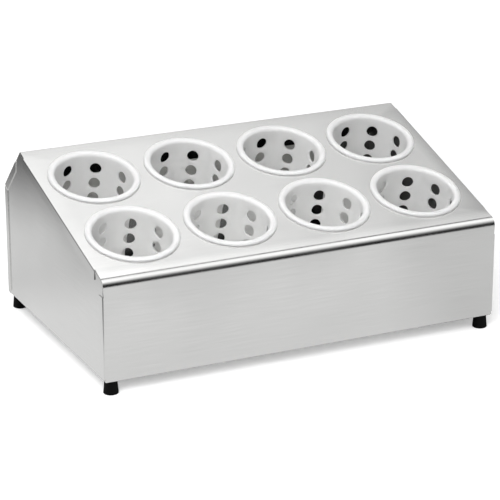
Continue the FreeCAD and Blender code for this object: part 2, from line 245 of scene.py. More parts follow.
# ---------------------------------------------------------------------------------------------------------
# Materials
# ---------------------------------------------------------------------------------------------------------
def linear(code):
    """An sRGB hex colour as linear RGBA."""
    values = []
    for start in (1, 3, 5):
        c = int(code[start:start + 2], 16) / 255
        values.append(c / 12.92 if c <= 0.04045 else ((c + 0.055) / 1.055) ** 2.4)
    return (*values, 1.0)


def add(tree, kind, inputs=None, **settings):
    """A node of that kind with its settings, and its inputs given as values or as sockets to link."""
    made = tree.nodes.new(kind)
    for name, value in settings.items():
        setattr(made, name, value)
    for name, value in (inputs or {}).items():
        socket = made.inputs[name]
        if isinstance(value, bpy.types.NodeSocket):
            tree.links.new(value, socket)
        else:
            socket.default_value = value
    return made


def ramp(tree, factor, stops):
    """A colour ramp through (position, hex colour) stops."""
    made = add(tree, "ShaderNodeValToRGB", {"Fac": factor})
    elements = made.color_ramp.elements
    while len(elements) < len(stops):
        elements.new(0.5)
    for element, (place, code) in zip(elements, stops):
        element.position = place
        element.color = linear(code)
    return made.outputs["Color"]


def ramp_over_metres(tree, place, stops):
    """A colour ramp over places from -1 to 1 metre."""
    share = add(tree, "ShaderNodeMapRange", {"Value": place, "From Min": -1.0, "From Max": 1.0})
    return ramp(tree, share.outputs["Result"], [((metres + 1) / 2, code) for metres, code in stops])


def faded(tree, value, start, end):
    """A smooth step from 0 at start to 1 at end."""
    step = add(
        tree,
        "ShaderNodeMapRange",
        {"Value": value, "From Min": start, "From Max": end},
        interpolation_type="SMOOTHSTEP",
    )
    return step.outputs["Result"]


def blended(tree, share, first, second, way="MIX"):
    """The colours first and second, blended by share."""
    inputs = {"Factor": share, 6: first, 7: second}
    return add(tree, "ShaderNodeMix", inputs, data_type="RGBA", blend_type=way).outputs[2]


def combined(tree, first, second, way):
    """Two numbers put together by the Math node's operation way."""
    return add(tree, "ShaderNodeMath", {0: first, 1: second}, operation=way).outputs["Value"]


def patchy(tree, clouds, low, high):
    """A number that wanders between low and high as the noise clouds does."""
    inputs = {"Value": clouds, "From Min": 0.3, "From Max": 0.7, "To Min": low, "To Max": high}
    return add(tree, "ShaderNodeMapRange", inputs).outputs["Result"]


def switched(tree, share, off, on):
    """The shader off where share is 0, and on where it is 1."""
    return add(tree, "ShaderNodeMixShader", {"Fac": share, 1: off, 2: on}).outputs["Shader"]


def kinds_of_ray(tree):
    """Whether a ray comes from the camera, and whether it comes off or through a polished surface."""
    path = add(tree, "ShaderNodeLightPath").outputs
    polished = combined(tree, path["Is Glossy Ray"], path["Is Transmission Ray"], "MAXIMUM")
    return path["Is Camera Ray"], polished


def new_material(name):
    """An empty material, and its node tree."""
    material = bpy.data.materials.new(name)
    material.use_nodes = True
    material.node_tree.nodes.clear()
    return material, material.node_tree


def stretched_noise(tree, size, detail=3.0):
    """Noise whose blobs are about size = (x, y, z) metres, in Object coordinates."""
    place = add(tree, "ShaderNodeTexCoord").outputs["Object"]
    scale = tuple(1 / s for s in size)
    moved = add(tree, "ShaderNodeMapping", {"Vector": place, "Scale": scale}).outputs["Vector"]
    noise = add(tree, "ShaderNodeTexNoise", {"Vector": moved, "Scale": 1.0, "Detail": detail})
    return noise.outputs["Fac"]


# Painted highlight: a strip of the deck's flat behind the front bend, whose colour is painted paler in place
# of the brighter reflection there.
HIGHLIGHT_STRIP_WIDTH = 15.0 * MM
HIGHLIGHT_STRIP_FULLY = 1.5 * MM  # from the bend to where the strip is at its palest
HIGHLIGHT_STRIP_EDGE = 1.0 * MM  # how softly the strip ends at the bend
HIGHLIGHT_STRIP_DROP = (6.0 * MM, 2.0 * MM)  # below the bend's start, where the strip has ended and where it is whole
HIGHLIGHT_STRIP_GAIN = 1.19


def painted_highlight_beside(tree, tone, bend):
    """tone, painted paler over the last millimetres of the flat behind bend: a painted highlight where the
    reflection brightens towards the bend.
    """
    place = add(tree, "ShaderNodeTexCoord").outputs["Object"]
    axes = add(tree, "ShaderNodeSeparateXYZ", {"Vector": place}).outputs
    gone, whole = HIGHLIGHT_STRIP_DROP
    near = faded(tree, axes["Y"], bend.y + HIGHLIGHT_STRIP_WIDTH, bend.y + HIGHLIGHT_STRIP_FULLY)
    flat = faded(tree, axes["Y"], bend.y - HIGHLIGHT_STRIP_EDGE, bend.y)
    high = faded(tree, axes["Z"], bend.z - gone, bend.z - whole)
    strip = combined(tree, combined(tree, near, flat, "MULTIPLY"), high, "MULTIPLY")
    gain = add(tree, "ShaderNodeMapRange", {"Value": strip, "To Min": 1.0, "To Max": HIGHLIGHT_STRIP_GAIN})
    paler = {0: tone, "Scale": gain.outputs["Result"]}
    return add(tree, "ShaderNodeVectorMath", paler, operation="SCALE").outputs["Vector"]


def brushed_stainless(name, grain, across, bend=None):
    """Stainless sheet with a number 4 finish: a soft mirror, drawn out across the grain by fine scratches.
    grain is the size in metres of one scratch patch along X, Y and Z, coarser than a real belt's scratches,
    so that they show at all. across is the axis that the highlight's stretch circles and the grain follows.
    bend is where a flat begins that has a strip painted paler as a highlight."""
    material, tree = new_material(name)
    scratches = stretched_noise(tree, grain, 4.0)
    clouds = stretched_noise(tree, (90 * MM, 90 * MM, 90 * MM), 2.0)
    tone = ramp(tree, scratches, [(0.3, "#dfdfde"), (0.7, "#e5e5e4")])
    # painted highlight: the deck's colour is made paler beside the front bend
    if bend:
        tone = painted_highlight_beside(tree, tone, bend)
    bump = add(tree, "ShaderNodeBump", {"Height": scratches, "Strength": 0.03, "Distance": 0.05 * MM})
    stretch = add(tree, "ShaderNodeTangent", direction_type="RADIAL", axis=across)
    shader = add(
        tree,
        "ShaderNodeBsdfPrincipled",
        {
            "Base Color": tone,
            "Metallic": 1.0,
            "Roughness": patchy(tree, clouds, 0.17, 0.22),
            "Anisotropic": 0.7,
            "Tangent": stretch.outputs["Tangent"],
            "Normal": bump.outputs["Normal"],
        },
    )
    add(tree, "ShaderNodeOutputMaterial", {"Surface": shader.outputs["BSDF"]})
    return material


def unbrushed_stainless(name, dark, pale, smoothest, roughest):
    """The sheet's inner side, as it came from the mill: grey, slightly cloudy and without grain."""
    material, tree = new_material(name)
    clouds = stretched_noise(tree, (30 * MM, 30 * MM, 30 * MM))
    tone = ramp(tree, clouds, [(0.3, dark), (0.7, pale)])
    rough = patchy(tree, clouds, smoothest, roughest)
    shader = add(tree, "ShaderNodeBsdfPrincipled", {"Base Color": tone, "Metallic": 1.0, "Roughness": rough})
    add(tree, "ShaderNodeOutputMaterial", {"Surface": shader.outputs["BSDF"]})
    return material


def moulded_polypropylene():
    """White polypropylene from a polished mould: a soft sheen, and light that sinks into the wall and glows
    out again some way off, so that shadows inside it stay pale."""
    material, tree = new_material("moulded_polypropylene")
    clouds = stretched_noise(tree, (12 * MM, 12 * MM, 12 * MM), 2.0)
    skin = stretched_noise(tree, (0.6 * MM, 0.6 * MM, 0.6 * MM), 2.0)
    tone = ramp(tree, clouds, [(0.3, "#fcfcfb"), (0.7, "#fefefd")])
    bump = add(tree, "ShaderNodeBump", {"Height": skin, "Strength": 0.08, "Distance": 0.05 * MM})
    shader = add(
        tree,
        "ShaderNodeBsdfPrincipled",
        {
            "Base Color": tone,
            "Roughness": 0.34,
            "IOR": 1.49,
            "Subsurface Weight": 1.0,
            "Subsurface Radius": (1.0, 1.0, 1.0),
            "Subsurface Scale": 16 * MM,
            "Normal": bump.outputs["Normal"],
        },
    )
    add(tree, "ShaderNodeOutputMaterial", {"Surface": shader.outputs["BSDF"]})
    return material


def moulded_rubber():
    """Black rubber: matt, with a fine spark-eroded grain from its mould."""
    material, tree = new_material("moulded_rubber")
    grit = stretched_noise(tree, (0.5 * MM, 0.5 * MM, 0.5 * MM))
    tone = ramp(tree, grit, [(0.3, "#040404"), (0.7, "#0a0a0a")])
    bump = add(tree, "ShaderNodeBump", {"Height": grit, "Strength": 0.25, "Distance": 0.1 * MM})
    shader = add(
        tree,
        "ShaderNodeBsdfPrincipled",
        {
            "Base Color": tone,
            "Roughness": 0.7,
            "IOR": 1.52,
            "Specular IOR Level": 0.12,
            "Normal": bump.outputs["Normal"],
        },
    )
    add(tree, "ShaderNodeOutputMaterial", {"Surface": shader.outputs["BSDF"]})
    return material


def zinc_plate():
    """Bright zinc on steel fasteners: a pale metal with a slightly mottled shine."""
    material, tree = new_material("zinc_plated_steel")
    mottle = stretched_noise(tree, (1.5 * MM, 1.5 * MM, 1.5 * MM))
    tone = ramp(tree, mottle, [(0.3, "#b9bcc0"), (0.7, "#d3d5d8")])
    rough = patchy(tree, mottle, 0.28, 0.42)
    shader = add(tree, "ShaderNodeBsdfPrincipled", {"Base Color": tone, "Metallic": 1.0, "Roughness": rough})
    add(tree, "ShaderNodeOutputMaterial", {"Surface": shader.outputs["BSDF"]})
    return material


# ---------------------------------------------------------------------------------------------------------
# Housing
# ---------------------------------------------------------------------------------------------------------
def housing_corners(inset):
    """Corners of the housing's section, front bottom to back bottom, moved inwards by inset."""
    down = Vector((0, math.cos(CHAMFER), -math.sin(CHAMFER)))
    ways = [Z_AXIS, ALONG, down, -Z_AXIS]
    starts = [Vector((0, FRONT_Y, BASE_Z)), FRONT_CORNER, RIDGE, BACK_CORNER]
    moved = [(start + Vector((0, way.z, -way.y)) * inset, way) for start, way in zip(starts, ways)]
    corners = [Vector((0, moved[0][0].y, BASE_Z + inset))]
    for (p, u), (q, v) in zip(moved, moved[1:]):
        reach = ((q.y - p.y) * v.z - (q.z - p.z) * v.y) / (u.y * v.z - u.z * v.y)
        corners.append(p + u * reach)
    corners.append(Vector((0, moved[-1][0].y, BASE_Z + inset)))
    return corners


def cylinder_places():
    """Name, centre on the deck's top face, and turn of each cylinder."""
    places = []
    for row, distance, turns in (("front", FRONT_ROW, FRONT_TURNS), ("rear", REAR_ROW, REAR_TURNS)):
        for column, turn in enumerate(turns):
            x = (column - (len(turns) - 1) / 2) * COLUMN_PITCH
            centre = FRONT_CORNER + ALONG * distance + X_AXIS * x
            places.append((f"cylinder_{row}_{column + 1}", centre, math.radians(turn)))
    return places


def fold_flange(bm, start, end, outwards, width, lead=0.0, tail=0.0):
    """Folds a side flange down on both sides, along the sheet's edge from start to end.
    lead and tail move the free edge's corners along the run."""
    way = (end - start).normalized()
    for side in (1, -1):
        edges = []
        for edge in bm.edges:
            middle = (edge.verts[0].co + edge.verts[1].co) / 2
            along = (middle - start).dot(way)
            level = abs((middle - start).dot(outwards)) < TOUCHING
            at_side = middle.x * side > HALF_WIDTH - 2 * FLANGE_BEND_R
            if edge.is_boundary and level and at_side and 0 < along < (end - start).length:
                edges.append(edge)
        geom = edges + list({v for e in edges for v in e.verts})
        bend_x = (HALF_WIDTH - FLANGE_BEND_R) * side
        centre = Vector((bend_x, start.y, start.z)) - outwards * FLANGE_BEND_R
        axis = X_AXIS.cross(outwards)
        geom = turned(bm, geom, centre, axis, -side * math.pi / 2, ARC_STEP * 3)
        geom = drawn(bm, geom, -outwards * BESIDE_BEND)
        geom = drawn(bm, geom, outwards * (FLANGE_BEND_R + BESIDE_BEND - width))
        for vert in (g for g in geom if isinstance(g, bmesh.types.BMVert)):
            if abs((vert.co - start).dot(way)) < TOUCHING:
                vert.co += way * lead
            if abs((vert.co - end).dot(way)) < TOUCHING:
                vert.co += way * tail


def cut_deck_holes(bm):
    """Replaces the deck's faces by one flat field with the eight holes in it."""
    level = [f for f in bm.faces if abs(f.normal.dot(NORMAL)) > 0.9999]
    flat_start = FRONT_BEND_REACH + BESIDE_BEND
    deck = [f for f in level if (f.calc_center_median() - FRONT_CORNER).dot(ALONG) > flat_start]
    rim = [e for f in deck for e in f.edges if sum(g in deck for g in e.link_faces) == 1]
    bmesh.ops.delete(bm, geom=deck, context="FACES_ONLY")
    loose = [e for e in bm.edges if not e.link_faces and e not in rim]
    bmesh.ops.delete(bm, geom=loose, context="EDGES")
    lost = [v for v in bm.verts if not v.link_edges]
    bmesh.ops.delete(bm, geom=lost, context="VERTS")
    lay = Matrix.Rotation(SLOPE, 4, "X")
    for _, centre, _ in cylinder_places():
        ring = bmesh.ops.create_circle(
            bm, segments=96, radius=DECK_HOLE_R, cap_ends=False, matrix=Matrix.Translation(centre) @ lay
        )
        rim += list({e for v in ring["verts"] for e in v.link_edges})
    bmesh.ops.triangle_fill(bm, edges=rim, use_beauty=True, normal=NORMAL)


def round_lower_corners(bm, y_side, radius):
    """Draws in the sheet's side edges near its bottom, so that the panel's lower corners are round."""
    for vert in bm.verts:
        height = vert.co.z - BASE_Z
        if vert.co.y * y_side > 0 and height < radius - 1e-7:
            drop = radius - max(height, 0)
            limit = HALF_WIDTH - radius + math.sqrt(radius**2 - drop**2)
            vert.co.x = max(-limit, min(limit, vert.co.x))


def body_wrap_mesh(outside, inside):
    """The folded sheet: front, deck, chamfer and back, with side flanges and bottom returns."""
    corners = housing_corners(0)
    corners.insert(0, Vector((0, FRONT_Y + BOTTOM_RETURN, BASE_Z)))
    corners.append(Vector((0, BACK_Y - BOTTOM_RETURN, BASE_Z)))
    radii = [BOTTOM_BEND_R, FRONT_BEND_R, FOLD_R, FOLD_R, BOTTOM_BEND_R]
    flat_half = HALF_WIDTH - FLANGE_BEND_R
    deck_length = (RIDGE - FRONT_CORNER).length
    chamfer_length = (BACK_CORNER - RIDGE).length
    back_height = BACK_CORNER.z - BASE_Z
    rounding = [FRONT_CORNER_R * share for share in FRONT_CORNER_ROWS]
    stops = {
        1: rounding + [FRONT_CORNER_R, FRONT_FLANGE_TOP, FRONT_HEIGHT - FRONT_BEND_REACH - BESIDE_BEND],
        2: [FRONT_BEND_REACH + BESIDE_BEND, DECK_FLANGE_START, deck_length - DECK_FLANGE_END_GAP],
        3: [FOLD_R, CHAMFER_FLANGE_START, chamfer_length - FOLD_R],
        4: [FOLD_R, back_height - BACK_FLANGE_FOOT, back_height - BACK_CORNER_ROW * BACK_CORNER_R],
    }
    bm = bmesh.new()
    ends = [bm.verts.new(corners[0] + X_AXIS * x) for x in (-flat_half, flat_half)]
    edge = bm.edges.new(ends)
    traced(bm, [edge, *ends], corners, radii, X_AXIS, stops)
    cut_deck_holes(bm)
    bmesh.ops.recalc_face_normals(bm, faces=bm.faces[:])
    for vert in bm.verts:  # where no flange is folded down, the edge comes out to the end panel's face
        above_front_flange = vert.co.z > BASE_Z + FRONT_FLANGE_TOP + TOUCHING
        before_deck_flange = (vert.co - FRONT_CORNER).dot(ALONG) < DECK_FLANGE_START - TOUCHING
        at_edge = abs(abs(vert.co.x) - flat_half) < TOUCHING
        if above_front_flange and before_deck_flange and at_edge:
            vert.co.x = math.copysign(PANEL_FACE, vert.co.x)
    down = (BACK_CORNER - RIDGE).normalized()
    down_out = Vector((0, math.sin(CHAMFER), math.cos(CHAMFER)))
    mitre = BACK_FLANGE * math.tan(CHAMFER / 2) - FOLD_R / 2
    foot = Vector((0, FRONT_Y, BASE_Z))
    fold_flange(bm, foot + Z_AXIS * FRONT_CORNER_R, foot + Z_AXIS * FRONT_FLANGE_TOP, -Y_AXIS, FRONT_FLANGE)
    fold_flange(
        bm,
        FRONT_CORNER + ALONG * DECK_FLANGE_START,
        FRONT_CORNER + ALONG * (deck_length - DECK_FLANGE_END_GAP),
        NORMAL,
        DECK_FLANGE,
        -DECK_FLANGE * math.tan(SLOPE),
    )
    fold_flange(
        bm,
        RIDGE + down * CHAMFER_FLANGE_START,
        RIDGE + down * (chamfer_length - FOLD_R),
        down_out,
        CHAMFER_FLANGE,
        CHAMFER_FLANGE,
        -mitre,
    )
    fold_flange(
        bm,
        BACK_CORNER - Z_AXIS * FOLD_R,
        BACK_CORNER - Z_AXIS * (back_height - BACK_FLANGE_FOOT),
        Y_AXIS,
        BACK_FLANGE,
        mitre,
        -BACK_FLANGE * BACK_FLANGE_CUT,
    )
    round_lower_corners(bm, -1, FRONT_CORNER_R)
    round_lower_corners(bm, 1, BACK_CORNER_R)
    return thickened(bm, SHEET, "body_wrap", outside, inside)


def end_panel_mesh(side, outside, inside):
    """A flat end sheet inside the flanges. Its bottom edge is folded in to a return."""
    inset = SHEET + EDGE_GAP
    corners = housing_corners(inset)
    low = BASE_Z + SHEET + BOTTOM_BEND_R + BESIDE_BEND
    corners[0].z = low
    corners[-1].z = low
    bm = bmesh.new()
    start = bm.verts.new(corners[0])
    radii = [FRONT_BEND_R - inset, FOLD_R - inset, FOLD_R - inset]
    traced(bm, [start], corners, radii, X_AXIS)
    outline_end = max(bm.verts, key=lambda v: (v.co.y, -v.co.z))
    bottom = bm.edges.new((outline_end, start))
    bmesh.ops.contextual_create(bm, geom=bm.edges[:])
    bmesh.ops.translate(bm, verts=bm.verts[:], vec=X_AXIS * PANEL_FACE * side)
    beside = drawn(bm, [bottom, *bottom.verts], -Z_AXIS * BESIDE_BEND)
    centre = Vector(((PANEL_FACE - BOTTOM_BEND_R) * side, 0, low - BESIDE_BEND))
    bend = turned(bm, beside, centre, Y_AXIS, side * math.pi / 2, ARC_STEP * 3)
    drawn(bm, bend, X_AXIS * -side * (END_RETURN - BOTTOM_BEND_R))
    for vert in bm.verts:  # the return stops short of the housing's bottom bends
        if vert.co.z < low - BESIDE_BEND - TOUCHING:
            vert.co.y = max(corners[0].y + BOTTOM_BEND_R, min(corners[-1].y - BOTTOM_BEND_R, vert.co.y))
    panel = max(bm.faces, key=lambda f: f.calc_area())
    bmesh.ops.recalc_face_normals(bm, faces=bm.faces[:])
    if panel.normal.x * side < 0:
        bmesh.ops.reverse_faces(bm, faces=bm.faces[:])
    return thickened(bm, SHEET, "end_panel", outside, inside)


# ---------------------------------------------------------------------------------------------------------
# Cylinders
# ---------------------------------------------------------------------------------------------------------
TILE_ACROSS = 10  # mesh steps along one tile's top edge
TILE_DOWN = 6
TILE_BELOW = PERFORATION_R + 0.8 * MM  # from a hole's centre down to its tile's lower edge
BAND_TOP = -FIRST_ROW_DEPTH + ROW_PITCH - TILE_BELOW
BAND_BOTTOM = BAND_TOP - PERFORATION_ROWS * ROW_PITCH
ROUND_STEPS = PERFORATION_COLUMNS * TILE_ACROSS
HOLE_STEPS = 32  # mesh steps round a drain hole


def body_radius(z):
    """Outer radius of the tapered body at height z."""
    share = -z / BODY_LENGTH
    return BODY_TOP_R + (BODY_BOTTOM_R - BODY_TOP_R) * share


def perforated_band(bm):
    """The body's wall where it is perforated, made flat as tiles with one hole each, then rolled up."""
    tile_width = 2 * math.pi * BODY_TOP_R / PERFORATION_COLUMNS
    size = Matrix.Diagonal((tile_width / 2, ROW_PITCH / 2, 1, 1))
    place = Matrix.Translation((0, ROW_PITCH / 2 - TILE_BELOW, 0))
    bmesh.ops.create_grid(bm, x_segments=TILE_ACROSS, y_segments=TILE_DOWN, size=1, matrix=place @ size)
    inner = [e for e in bm.edges if not e.is_boundary]
    bmesh.ops.delete(bm, geom=inner, context="EDGES_FACES")
    bmesh.ops.delete(bm, geom=[v for v in bm.verts if not v.link_edges], context="VERTS")
    frame_edges = bm.edges[:]
    count = len(frame_edges)
    hole = bmesh.ops.create_circle(bm, segments=count, radius=PERFORATION_R, cap_ends=False)
    hole_edges = list({e for v in hole["verts"] for e in v.link_edges})
    bmesh.ops.bridge_loops(bm, edges=frame_edges + hole_edges)
    spokes = [e for e in bm.edges if e not in frame_edges and e not in hole_edges]
    bmesh.ops.subdivide_edges(bm, edges=spokes, cuts=1, use_grid_fill=True)
    bmesh.ops.recalc_face_normals(bm, faces=bm.faces[:])
    if bm.faces[:][0].normal.z < 0:
        bmesh.ops.reverse_faces(bm, faces=bm.faces[:])
    skin = bm.faces[:]
    hole_edges = [e for e in bm.edges if e.is_boundary and e.verts[0].co.length < PERFORATION_R * 1.01]
    wall = bmesh.ops.extrude_edge_only(bm, edges=hole_edges)
    sunk = [g for g in wall["geom"] if isinstance(g, bmesh.types.BMVert)]
    bmesh.ops.translate(bm, verts=sunk, vec=(0, 0, -WALL))
    back = bmesh.ops.duplicate(bm, geom=skin)
    back_faces = [g for g in back["geom"] if isinstance(g, bmesh.types.BMFace)]
    back_verts = [g for g in back["geom"] if isinstance(g, bmesh.types.BMVert)]
    bmesh.ops.translate(bm, verts=back_verts, vec=(0, 0, -WALL))
    bmesh.ops.reverse_faces(bm, faces=back_faces)
    bmesh.ops.remove_doubles(bm, verts=bm.verts[:], dist=TOUCHING)
    tile = bm.verts[:] + bm.edges[:] + bm.faces[:]
    bmesh.ops.translate(bm, verts=bm.verts[:], vec=(0, -FIRST_ROW_DEPTH, 0))
    for row in range(1, PERFORATION_ROWS):
        copy = bmesh.ops.duplicate(bm, geom=tile)
        verts = [g for g in copy["geom"] if isinstance(g, bmesh.types.BMVert)]
        bmesh.ops.translate(bm, verts=verts, vec=(0, -row * ROW_PITCH, 0))
    strip = bm.verts[:] + bm.edges[:] + bm.faces[:]
    for column in range(1, PERFORATION_COLUMNS):
        copy = bmesh.ops.duplicate(bm, geom=strip)
        verts = [g for g in copy["geom"] if isinstance(g, bmesh.types.BMVert)]
        bmesh.ops.translate(bm, verts=verts, vec=(column * tile_width, 0, 0))
    for vert in bm.verts:
        angle = vert.co.x / BODY_TOP_R
        radius = body_radius(vert.co.y) + vert.co.z
        vert.co = Vector((radius * math.cos(angle), radius * math.sin(angle), vert.co.y))
    bmesh.ops.remove_doubles(bm, verts=bm.verts[:], dist=1e-5)


def rim_ring(bm):
    """The rim and the plain neck below it, turned from one open section."""
    points = [
        (body_radius(BAND_TOP), BAND_TOP),
        (BODY_TOP_R, 0),
        (RIM_R, 0),
        (RIM_R, RIM_THICK),
        (BODY_TOP_R - WALL, RIM_THICK),
        (body_radius(BAND_TOP) - WALL, BAND_TOP),
    ]
    ring = bmesh.new()
    section(points, [NECK_R, NECK_R, RIM_EDGE_R, LIP_R], ring)
    lathe(ring, ROUND_STEPS)
    merge_into(bm, ring)


def base_cup(bm):
    """The closed end: a rounded corner and a flat base with its drain holes."""
    inner_z = -BODY_LENGTH + WALL
    for sunk, height in ((0.0, -BODY_LENGTH), (WALL, inner_z)):
        top_r = body_radius(BAND_BOTTOM) - sunk
        points = [(top_r, BAND_BOTTOM), (BODY_BOTTOM_R - sunk, height), (BASE_FLAT_R, height)]
        cup = bmesh.new()
        section(points, [BASE_CORNER_R - sunk], cup)
        lathe(cup, ROUND_STEPS)
        edges = [e for e in cup.edges if e.is_boundary and abs(e.verts[0].co.z - height) < TOUCHING]
        for spot in base_hole_spots():
            place = Matrix.Translation(spot + Z_AXIS * height)
            ring = bmesh.ops.create_circle(
                cup, segments=HOLE_STEPS, radius=PERFORATION_R, cap_ends=False, matrix=place
            )
            edges += list({e for v in ring["verts"] for e in v.link_edges})
        bmesh.ops.triangle_fill(cup, edges=edges, use_beauty=True, normal=(0, 0, -1))
        merge_into(bm, cup)
    for spot in base_hole_spots():
        loops = []
        for edge in bm.edges:
            middle = (edge.verts[0].co + edge.verts[1].co) / 2
            away = Vector((middle.x - spot.x, middle.y - spot.y)).length
            if edge.is_boundary and middle.z < inner_z + 1e-5 and away < PERFORATION_R * 1.01:
                loops.append(edge)
        bmesh.ops.bridge_loops(bm, edges=loops)


def base_hole_spots():
    """Centres of the drain holes: one in the middle and a ring round it."""
    spots = [Vector((0, 0, 0))]
    for hole in range(BASE_RING_HOLES):
        angle = 2 * math.pi * hole / BASE_RING_HOLES
        spots.append(Vector((BASE_RING_R * math.cos(angle), BASE_RING_R * math.sin(angle), 0)))
    return spots


def merge_into(bm, other):
    """Adds another bmesh to bm."""
    mesh = bpy.data.meshes.new("part")
    other.to_mesh(mesh)
    other.free()
    bm.from_mesh(mesh)
    bpy.data.meshes.remove(mesh)


def cylinder_mesh():
    """One moulded cylinder on the Z axis. z = 0 is the underside of its rim."""
    bm = bmesh.new()
    perforated_band(bm)
    rim_ring(bm)
    base_cup(bm)
    bmesh.ops.remove_doubles(bm, verts=bm.verts[:], dist=2e-5)
    bmesh.ops.recalc_face_normals(bm, faces=bm.faces[:])
    return mesh_from(bm, "cylinder")


# ---------------------------------------------------------------------------------------------------------
# Feet
# ---------------------------------------------------------------------------------------------------------
FOOT_STEPS = 48  # mesh steps round a foot


def foot_mesh():
    """A conical rubber foot with the recess for its screw, standing on z = 0."""
    points = [
        (INSERT_TUBE_R, FOOT_RECESS + INSERT_PLATE),
        (FOOT_RECESS_R, FOOT_RECESS + INSERT_PLATE),
        (FOOT_RECESS_R, 0),
        (FOOT_BOTTOM_R, 0),
        (FOOT_TOP_R, FOOT_HEIGHT),
        (INSERT_TUBE_R, FOOT_HEIGHT),
        (INSERT_TUBE_R, FOOT_RECESS + INSERT_PLATE),
    ]
    bm = bmesh.new()
    section(points, [0, FOOT_MOUTH_R, FOOT_EDGE_R, FOOT_SHOULDER_R, 0], bm)
    lathe(bm, FOOT_STEPS)
    bmesh.ops.recalc_face_normals(bm, faces=bm.faces[:])
    return mesh_from(bm, "foot")


# ---------------------------------------------------------------------------------------------------------
# The object
# ---------------------------------------------------------------------------------------------------------
front_bend = FRONT_CORNER + ALONG * FRONT_BEND_REACH  # where the deck's flat begins
# the deck's material carries a painted highlight beside the front bend
stainless = brushed_stainless("brushed_stainless", (60 * MM, 0.8 * MM, 0.8 * MM), "X", front_bend)
stainless_ends = brushed_stainless("brushed_stainless_ends", (0.8 * MM, 60 * MM, 0.8 * MM), "Y")
cold_rolled = unbrushed_stainless("cold_rolled_stainless", "#c0c0be", "#c8c8c6", 0.11, 0.15)  # a clear mirror
hot_rolled = unbrushed_stainless("hot_rolled_stainless", "#5e5e5d", "#6a6a69", 0.42, 0.5)  # dull and dark
plastic = moulded_polypropylene()
rubber = moulded_rubber()
zinc = zinc_plate()

show(body_wrap_mesh(stainless, cold_rolled), "wrap_sheet", stainless, "brushed_steel", "housing", "body_wrap")
for word, side in (("left", -1), ("right", 1)):
    node = f"end_panel_{word}"
    sheet = end_panel_mesh(side, stainless_ends, hot_rolled)
    show(sheet, f"{node}_sheet", stainless_ends, "brushed_steel", "housing", node)

one_cylinder = cylinder_mesh()
for node, centre, turn in cylinder_places():
    mesh = one_cylinder.copy()
    mesh.transform(
        Matrix.Translation(centre) @ Matrix.Rotation(SLOPE, 4, "X") @ Matrix.Rotation(turn, 4, "Z")
    )
    show(mesh, f"{node}_moulding", plastic, "white_plastic", node, node)

one_foot = foot_mesh()
for corner in ("front_left", "front_right", "back_left", "back_right"):
    node = f"foot_{corner}"
    low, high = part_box(node)
    mesh = one_foot.copy()
    mesh.transform(Matrix.Translation(((low.x + high.x) / 2, (low.y + high.y) / 2, low.z)))
    show(mesh, f"{node}_moulding", rubber, "black_rubber", "housing", node)

for name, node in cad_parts.items():
    if name.startswith("foot_insert") or name in ("foot_screws", "foot_washers", "foot_nuts"):
        node.data.materials.clear()
        node.data.materials.append(zinc)


# ---------------------------------------------------------------------------------------------------------
# Studio
# ---------------------------------------------------------------------------------------------------------
# What polished surfaces see. Each list holds (value, tone) stops, and the pool of light on the table is given
# over metres, from -1 to 1. The lamps don't show in polished surfaces, so these tones alone make the metal's.
POOL_ACROSS = [
    (-0.8, "#a0a0a0"),
    (-0.62, "#404040"),
    (-0.5, "#949494"),
    (-0.45, "#c4c4c4"),
    (-0.4, "#ececec"),
    (-0.3, "#f0f0f0"),
    (0.12, "#eeeeee"),
    (0.18, "#e6e6e6"),
    (0.24, "#dedede"),
    (0.36, "#e2e2e2"),
    (0.9, "#909090"),
]
POOL_SLANT = 0.47  # metres sideways for each metre in front of the object
POOL_ALONG = [
    (-0.9, "#181818"),
    (-0.62, "#ffffff"),
    (-0.45, "#ffffff"),
    (-0.25, "#f4f4f4"),
    (0.12, "#f8f8f8"),
    (0.25, "#e8e8e8"),
    (0.42, "#f4f4f4"),
    (0.6, "#dedede"),
    (0.9, "#282828"),
]
SHADE_FRONT = "#757575"  # under the object, towards its front left
SHADE_BACK = "#050505"
SHADE_BACK_FADE = (-0.02, 0.06)  # where the one turns into the other, along Y
SHADE_RIGHT_FADE = (0.15, 0.22)  # and along X
SHADE_PAST_RIGHT = 40 * MM
POOL_STRENGTH = 1.02
CANOPY = [
    (0.22, "#060606"),
    (0.34, "#303030"),
    (0.57, "#9a9a9a"),
    (0.78, "#e8e8e8"),
    (0.9, "#f0f0f0"),
    (1.0, "#c8c8c8"),
]
CEILING = [(0.1, "#101010"), (0.35, "#d8d8d8"), (0.6, "#ffffff")]
CEILING_ACROSS = [
    (0.3, "#ffffff"),
    (0.36, "#f4f4f4"),
    (0.46, "#cacaca"),
    (0.56, "#9c9c9c"),
    (0.65, "#747474"),
]
HORIZON_BESIDE = [(0.0, "#a8a8a8"), (0.35, "#d0d0d0"), (0.7, "#f0f0f0")]
CANOPY_GAP = [
    (0.08, "#ffffff"),
    (0.2, "#484848"),
    (0.34, "#484848"),
    (0.44, "#ffffff"),
    (0.54, "#ffffff"),
    (0.62, "#c4c4c4"),
]
CEILING_FADE = (0.1, 0.42)  # where the canopy turns into the ceiling, along Y
BESIDE_FADE = (0.6, 0.85)  # where either turns into the horizon, along X
STUDIO_STRENGTH = 1.6

# What the camera sees, and what lights the plastic and the rubber.
WHITE = "#ffffff"
TABLE_R = 8.0
TABLE_WHITE = "#f2f2f2"
TABLE_BOUNCE = "#909090"  # the table as it lights the object from below
TABLE_GLOW = 0.32  # added to the table's own light near the object, so that it is white and keeps the shadow
GLOW_NEAR = 0.7  # how far from the middle the glow starts to grow, and where it is whole
GLOW_FAR = 2.4
SKY_LIGHT = 0.45


